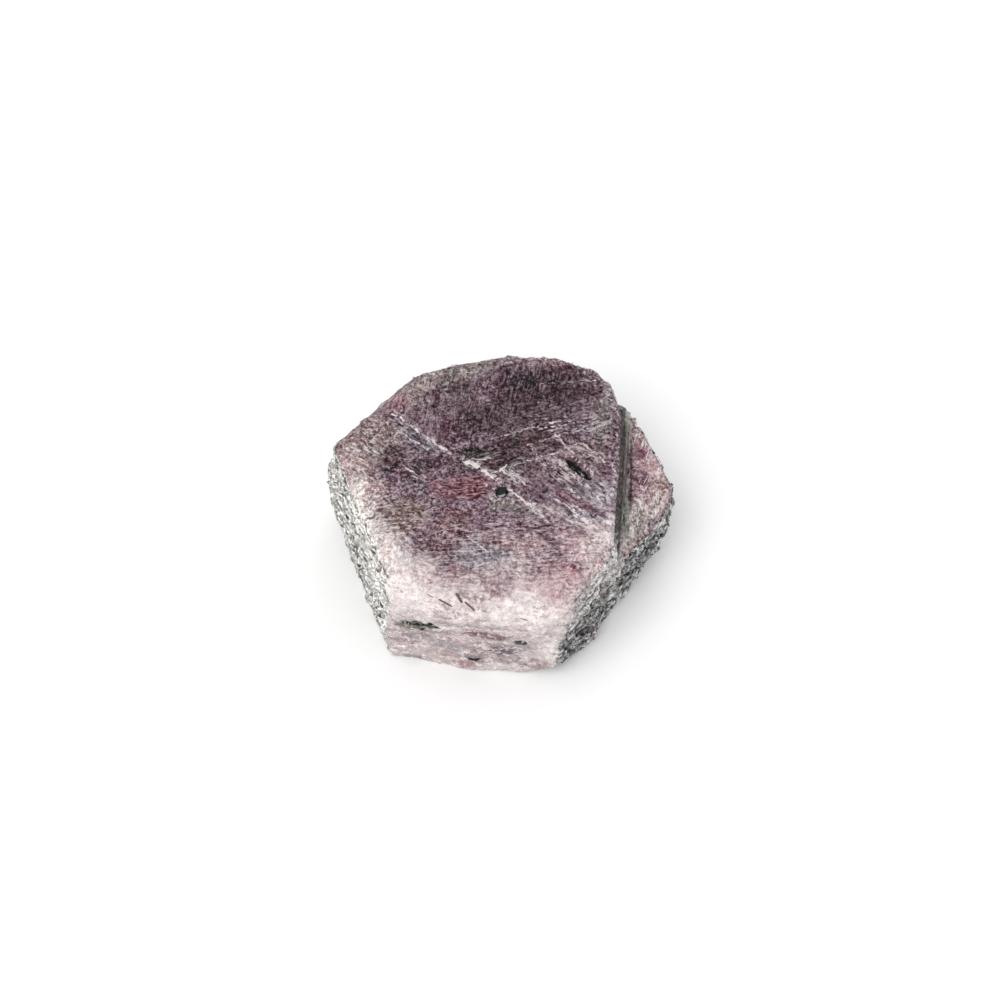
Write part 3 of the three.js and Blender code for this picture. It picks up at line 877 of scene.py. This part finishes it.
leaves = leaves.node("GeometryNodeStoreNamedAttribute", {"data_type": "FLOAT", "domain": "INSTANCE"},
                     {"Geometry": leaves, "Name": "tone", "Value": tone})
leaves = leaves.node("GeometryNodeRealizeInstances", {}, {"Geometry": leaves})
finish_modifier(mica, scatter, leaves)
for leaf_piece in leaf_kinds:
    bpy.data.objects.remove(leaf_piece)


def shaded(colour, level):
    """The colour made lighter or darker by a factor that varies over the surface."""
    return colour.node("ShaderNodeVectorMath", {"operation": "SCALE"}, {0: colour, "Scale": level})


# From black leaves to silver ones: the share of leaves up to each tone, and its colour.
LEAF_TONES = ((0.0, "1a1a1b"), (0.30, "40403f"), (0.60, "7a7a78"), (0.86, "b0afad"), (1.0, "e4e3e2"))
GREENISH = "bcbeb6"

mica_paint, shader, place = new_paint("mica")
tone = attribute(place.tree, "tone")
tones = [(share, linear(code)) for share, code in LEAF_TONES]
leaf_colour = tone.node("ShaderNodeValToRGB", {"stops": tones}, {"Fac": tone}, "Color")
on_left = rise(-part_of(place, "X"), 9.0, 13.0)
leaf_colour = mixed(leaf_colour, GREENISH, on_left * 0.55)
streak = spread(cloud(place, (0.5, 0.5, 0.08), 95, 3.0), 0.3, 0.7)
shaded(leaf_colour, 0.45 + streak * 1.1).into(shader, "Base Color")
(0.22 + streak * 0.28).into(shader, "Roughness")
bump(streak, 0.6, 0.04).into(shader, "Normal")
mica.data.materials.clear()
mica.data.materials.append(mica_paint)
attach(mica, "root")

# ----------------------------------------------------------
# Dark grains: stubby, glossy green-black amphibole crystals that grew into the ruby. The largest
# sits in a hollow near the middle of the top, and others in the pits and on the front side.

# Where each is sought, the way it is seen from (azimuth, elevation), its length, width and
# thickness, and how far it is turned on the surface.
GRAINS = (
    ((0.30, -2.40, 12), (0, 90), (1.75, 1.25, 1.3), 75),
    ((7.35, 1.30, 12), (0, 90), (1.1, 0.40, 0.5), -44),
    ((8.25, 0.30, 12), (0, 90), (1.1, 0.36, 0.5), -54),
    ((-10.9, 0.35, 12), (0, 90), (0.8, 0.35, 0.3), -40),
    ((1.2, -2.9, 12), (0, 90), (0.4, 0.3, 0.3), 10),
    ((-6.93, -15.0, 7.0), (FRONT, 10), (0.95, 0.55, 0.45), 20),
    ((-8.05, -14.7, 6.6), (FRONT, 10), (1.1, 0.35, 0.3), 8),
    ((-9.3, -14.4, 6.6), (FRONT, 10), (0.9, 0.26, 0.25), -5),
    ((1.9, -16.0, 5.45), (FRONT, 10), (0.6, 0.5, 0.4), 10),
    ((2.6, -16.0, 5.35), (FRONT, 10), (0.4, 0.35, 0.3), 50),
    ((-2.4, -15.3, 2.1), (FRONT, 10), (0.9, 0.45, 0.35), 5),
    ((-7.4, -15.0, 6.1), (FRONT, 10), (0.6, 0.38, 0.3), 50),
    ((-6.1, -15.2, 6.7), (FRONT, 10), (0.8, 0.26, 0.25), -12),
    ((14.9, -5.0, 7.8), (RIGHT, 45), (0.7, 0.4, 0.4), 40),
    ((-13.9, -8.2, 9.0), (LEFT, 10), (1.1, 0.25, 0.25), 0),
    ((-14.9, -3.6, 8.0), (LEFT, 10), (1.0, 0.28, 0.25), 5),
)
GRAIN_SUNK = 0.25            # how much of its thickness a grain is sunk by
GRAIN_TIP = (0.16, 0.10)     # how far in and out the ends of the model go, for a length of 1
GRAIN_BEVEL = 0.07
GRAIN_RAGGED = 0.045
STEEPEST_SIDE = 80           # grains seen from higher up than this lie on the top


def six_sided_bar(name):
    """A bar of length and width 1 along X, in edit mode with its two ends selected."""
    bpy.ops.object.select_all(action="DESELECT")
    along_x = (0, math.radians(90), 0)
    bpy.ops.mesh.primitive_cylinder_add(vertices=6, radius=0.5, depth=1.0, rotation=along_x)
    bar = bpy.context.object
    bar.name = name
    bpy.ops.object.transform_apply(location=True, rotation=True, scale=True)
    bpy.ops.object.mode_set(mode="EDIT")
    bpy.ops.mesh.select_mode(type="FACE")
    select_faces(bar, lambda face: abs(face.normal.x) > 0.7)
    return bar


def copied(model, name):
    """A copy of the model with its own mesh, that turns by quaternion."""
    piece = bpy.data.objects.new(name, model.data.copy())
    bpy.context.collection.objects.link(piece)
    piece.rotation_mode = "QUATERNION"
    return piece


def finish_pieces(pieces, model, paint):
    """Puts each piece's place, turn and size into its mesh, and hands it over with its material."""
    bpy.data.objects.remove(model)
    bpy.ops.object.select_all(action="DESELECT")
    for piece in pieces:
        piece.select_set(True)
        piece.data.materials.append(paint)
    bpy.context.view_layer.objects.active = pieces[0]
    bpy.ops.object.transform_apply(location=True, rotation=True, scale=True)
    for piece in pieces:
        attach(piece, "root")


def spin_about(axis, degrees):
    return Matrix.Rotation(math.radians(degrees), 4, axis).to_quaternion()


grain_model = six_sided_bar("grain_model")
bpy.ops.mesh.inset(thickness=GRAIN_TIP[0], depth=GRAIN_TIP[1], use_individual=True)
bpy.ops.mesh.select_all(action="SELECT")
bpy.ops.mesh.bevel(offset=GRAIN_BEVEL, segments=2, affect="EDGES")
bpy.ops.mesh.subdivide(number_cuts=1)
bpy.ops.transform.vertex_random(offset=GRAIN_RAGGED, seed=2)
bpy.ops.object.mode_set(mode="OBJECT")


def way_to(azimuth, elevation):
    """The way out from the crystal at that azimuth and elevation."""
    turn, tilt = math.radians(azimuth), math.radians(elevation)
    return Vector((math.cos(turn) * math.cos(tilt), math.sin(turn) * math.cos(tilt), math.sin(tilt)))


def seat(aim, seen_from):
    """Where a sight line through the aim meets the crystal, and the way back out along it."""
    out = way_to(*seen_from)
    start = Vector(aim) * MM + out * 4 * MM
    found, met, _, _ = crystal.ray_cast(start, -out)
    return (met if found else Vector(aim) * MM), out


grains_made = []
for count, (aim, seen_from, size, turn) in enumerate(GRAINS):
    azimuth, elevation = seen_from
    met, out = seat(aim, seen_from)
    across = Vector((0, 0, 1)).rotation_difference(out)
    if elevation < STEEPEST_SIDE:
        across = spin_about("Z", azimuth + 90) @ spin_about("X", 90 - elevation)
    grain = copied(grain_model, f"dark_grain_{count + 1}")
    grain.rotation_quaternion = across @ spin_about("Z", turn)
    grain.scale = [step * MM for step in size]
    grain.location = met - out * (size[2] * GRAIN_SUNK * MM)
    grains_made.append(grain)

GRAIN_SHINE = 0.2
grain_paint, shader, place = new_paint("green_black_amphibole")
shader.inputs["Specular IOR Level"].default_value = GRAIN_SHINE
cleave = spread(cloud(place, (0.3, 0.3, 0.12), 101, 3.0), 0.3, 0.7)
facet = part_of(cells(place, (0.45, 0.35, 0.35), 103).output("Color"), "X")
grain_glints = rise(facet, 0.82, 0.84)
# Painted light: lighter facets and whitish spots on the grain stand in for facets that catch the light and
# glint.
grain_colour = mixed("080a0a", "1d2422", cleave)
grain_colour = mixed(grain_colour, "4c5353", rise(facet, 0.62, 0.64) * 0.7)
mixed(grain_colour, "aab1b1", grain_glints * 0.7).into(shader, "Base Color")
(0.22 + cleave * 0.30).into(shader, "Roughness")
bump(cleave, 0.7, 0.05).into(shader, "Normal")
finish_pieces(grains_made, grain_model, grain_paint)

# ----------------------------------------------------------
# Needles: thin brown-black hornblende crystals, grown into the white shoulder. Each is a six-sided
# bar that tapers at both ends, laid on the surface between two points.

# Both ends of each, and its width.
NEEDLES = (
    ((-5.8, -13.87, 9.54), (-4.43, -14.56, 9.22), 0.18),
    ((-4.05, -13.45, 9.94), (-3.50, -14.35, 9.53), 0.30),
    ((-3.26, -14.23, 9.6), (-2.28, -14.99, 9.18), 0.20),
    ((-6.9, -13.3, 9.6), (-6.2, -13.6, 9.4), 0.08),
    ((2.1, -15.7, 8.9), (2.9, -15.9, 8.8), 0.08),
    ((-9.8, -12.4, 9.6), (-9.2, -12.9, 9.3), 0.08),
)
SHOULDER_SEEN = (FRONT, 50)
NEEDLE_TIP = 0.18            # how far each tapered end runs out, as a share of the shaft
NEEDLE_TAPER = 0.30
NEEDLE_RAGGED = 0.03

needle_model = six_sided_bar("needle_model")
bpy.ops.mesh.inset(thickness=NEEDLE_TAPER, depth=NEEDLE_TIP, use_individual=True)
bpy.ops.mesh.select_all(action="SELECT")
bpy.ops.mesh.subdivide(number_cuts=3)
bpy.ops.transform.vertex_random(offset=NEEDLE_RAGGED, seed=4)
bpy.ops.object.mode_set(mode="OBJECT")

needles_made = []
for count, (start, end, width) in enumerate(NEEDLES):
    first, _ = seat(start, SHOULDER_SEEN)
    last, _ = seat(end, SHOULDER_SEEN)
    needle = copied(needle_model, f"needle_{count + 1}")
    needle.rotation_quaternion = (last - first).to_track_quat("X", "Z")
    needle.scale = ((last - first).length / (1 + 2 * NEEDLE_TIP), width * MM, width * MM)
    needle.location = (first + last) / 2
    needles_made.append(needle)

needle_paint, shader, place = new_paint("brown_needle")
fleck = spread(cloud(place, 0.12, 111, 2.0), 0.3, 0.7)
mixed("2e201d", "7a625a", fleck).into(shader, "Base Color")
(0.35 + fleck * 0.25).into(shader, "Roughness")
finish_pieces(needles_made, needle_model, needle_paint)

# ----------------------------------------------------------
# The floor: a plain pale sheet of paper that the crystal stands on. It is large enough to reach
# the horizon, and it lies just under the base.

FLOOR_SIDE = 4000
FLOOR_DROP = 0.02            # so that it never shares a plane with the base
PAPER_WHITE = (0.97, 0.97, 0.97, 1)
PAPER_ROUGHNESS = 0.9

bpy.ops.mesh.primitive_plane_add(size=FLOOR_SIDE * MM, location=(0, 0, -FLOOR_DROP * MM))
floor = bpy.context.object
floor.name = "floor"
bpy.ops.object.transform_apply(location=True, rotation=True, scale=True)
paper = bpy.data.materials.new("pale_paper")
paper.use_nodes = True
shader = paper.node_tree.nodes["Principled BSDF"]
shader.inputs["Base Color"].default_value = PAPER_WHITE
shader.inputs["Roughness"].default_value = PAPER_ROUGHNESS
floor.data.materials.append(paper)

# ----------------------------------------------------------
# Light: a white room and two square softboxes. The large one stands in front and to the left, and
# the weak one behind.

ROOM_STRENGTH = 0.80
world = bpy.data.worlds.new("white_room")
world.use_nodes = True
room = world.node_tree.nodes["Background"]
room.inputs["Color"].default_value = (1, 1, 1, 1)
room.inputs["Strength"].default_value = ROOM_STRENGTH
bpy.context.scene.world = world


def softbox(name, azimuth, elevation, distance, side, watts):
    """A square area light that looks at the crystal from there."""
    place = way_to(azimuth, elevation) * distance * MM
    looking = [math.radians(angle) for angle in (0, 90 - elevation, azimuth)]
    bpy.ops.object.light_add(type="AREA", location=place, rotation=looking)
    lamp = bpy.context.object
    lamp.name = name
    lamp.data.shape = "SQUARE"
    lamp.data.size = side * MM
    lamp.data.energy = watts


softbox("softbox_front_left", azimuth=235, elevation=52, distance=600, side=420, watts=1.55)
softbox("softbox_back", azimuth=70, elevation=45, distance=700, side=300, watts=0.4)

# ----------------------------------------------------------
# Camera: a long lens in front of the crystal, high enough to look down on its top and still see
# the front side and the ledge.

AIM = (0.158, 0.7475, 7.037)
DISTANCE = 280
LOOK_FROM, LOOK_DOWN = 270, 50
LONG_LENS = 100
SENSOR = 36
NEAREST_SEEN = 0.01          # metres

stand = (Vector(AIM) + way_to(LOOK_FROM, LOOK_DOWN) * DISTANCE) * MM
looking = (math.radians(90 - LOOK_DOWN), 0, 0)
bpy.ops.object.camera_add(location=stand, rotation=looking)
camera = bpy.context.object
camera.data.lens = LONG_LENS
camera.data.sensor_width = SENSOR
camera.data.clip_start = NEAREST_SEEN
bpy.context.scene.camera = camera
bpy.context.scene.view_settings.view_transform = "Standard"
